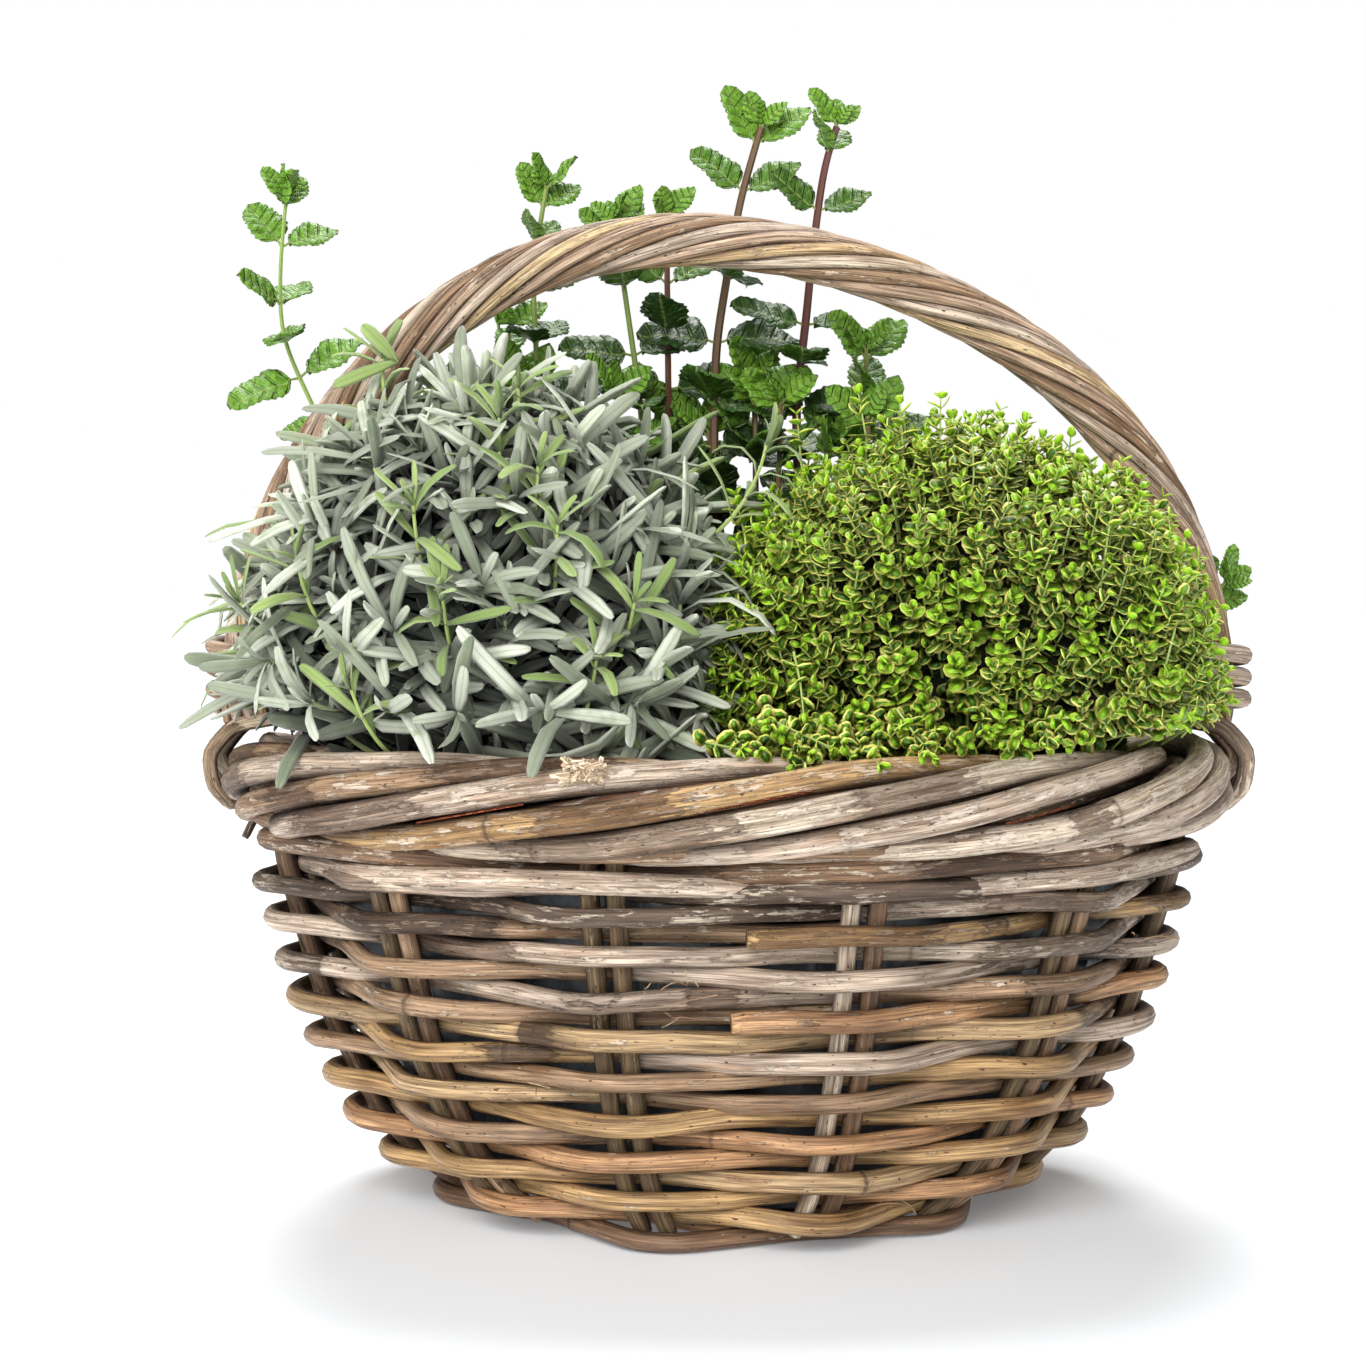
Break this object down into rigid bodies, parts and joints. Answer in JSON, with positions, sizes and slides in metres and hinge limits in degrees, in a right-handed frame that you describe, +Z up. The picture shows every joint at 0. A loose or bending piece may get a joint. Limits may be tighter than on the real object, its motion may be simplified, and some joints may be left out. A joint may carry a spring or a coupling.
{
  "type": "potted english lavender",
  "caption": "Oval wicker basket with an arched rope handle, planted with silver-leaved english lavender, variegated thyme and tall mint.",
  "frame": {"origin": "middle of the underside of the woven base, on the surface the basket stands on", "axes": "+Z up, +X to the right along the arch of the handle, -Y towards the front where the lavender and thyme grow"},
  "size_m": [0.4509, 0.3328, 0.4508],
  "materials": {
    "cane": "peeled and part-barked willow cane, dry, satin, with nodes and flecks of bark",
    "stake": "darker willow cane, dry, satin",
    "border": "thick weathered willow cane with grey bark patches, dry, matt",
    "handle": "twisted beige and tan canes with dark grooves, dry, matt",
    "liner": "thin black pot liner, soft sheen",
    "soil": "dark moist potting soil, matt and crumbly",
    "lavender": "felted silver-grey leaves, matt",
    "thyme": "small green leaves with cream margins, soft sheen",
    "mint": "crinkled green leaves, soft sheen"
  },
  "bodies": {
    "root": {"base": "cane", "stake_01": "stake", "stake_02": "stake", "stake_03": "stake", "stake_04": "stake", "stake_05": "stake", "stake_06": "stake", "stake_07": "stake", "stake_08": "stake", "stake_09": "stake", "stake_10": "stake", "stake_11": "stake", "stake_12": "stake", "stake_13": "stake", "stake_14": "stake", "stake_15": "stake", "stake_16": "stake", "stake_17": "stake", "stake_18": "stake", "stake_19": "stake", "stake_20": "stake", "stake_21": "stake", "stake_22": "stake", "stake_23": "stake", "stake_24": "stake", "weave_row_01": "cane", "weave_row_02": "cane", "weave_row_03": "cane", "weave_row_04": "cane", "weave_row_05": "cane", "weave_row_06": "cane", "weave_row_07": "cane", "weave_row_08": "cane", "weave_row_09": "cane", "weave_row_10": "cane", "weave_row_11": "cane", "weave_row_12": "cane", "weave_row_13": "cane", "weave_row_14": "cane", "weave_row_15": "cane", "weave_row_16": "cane", "weave_row_17": "cane", "weave_row_18": "cane", "border_rod_1": "border", "border_rod_2": "border", "border_rod_3": "border", "border_rod_4": "border", "handle_rope": "handle", "binding_left": "border", "binding_right": "border", "liner": "liner", "soil": "soil", "lavender": "lavender", "thyme": "thyme", "mint_1": "mint", "mint_2": "mint", "mint_3": "mint", "mint_4": "mint", "mint_5": "mint", "mint_6": "mint"}
  },
  "joints": []
}
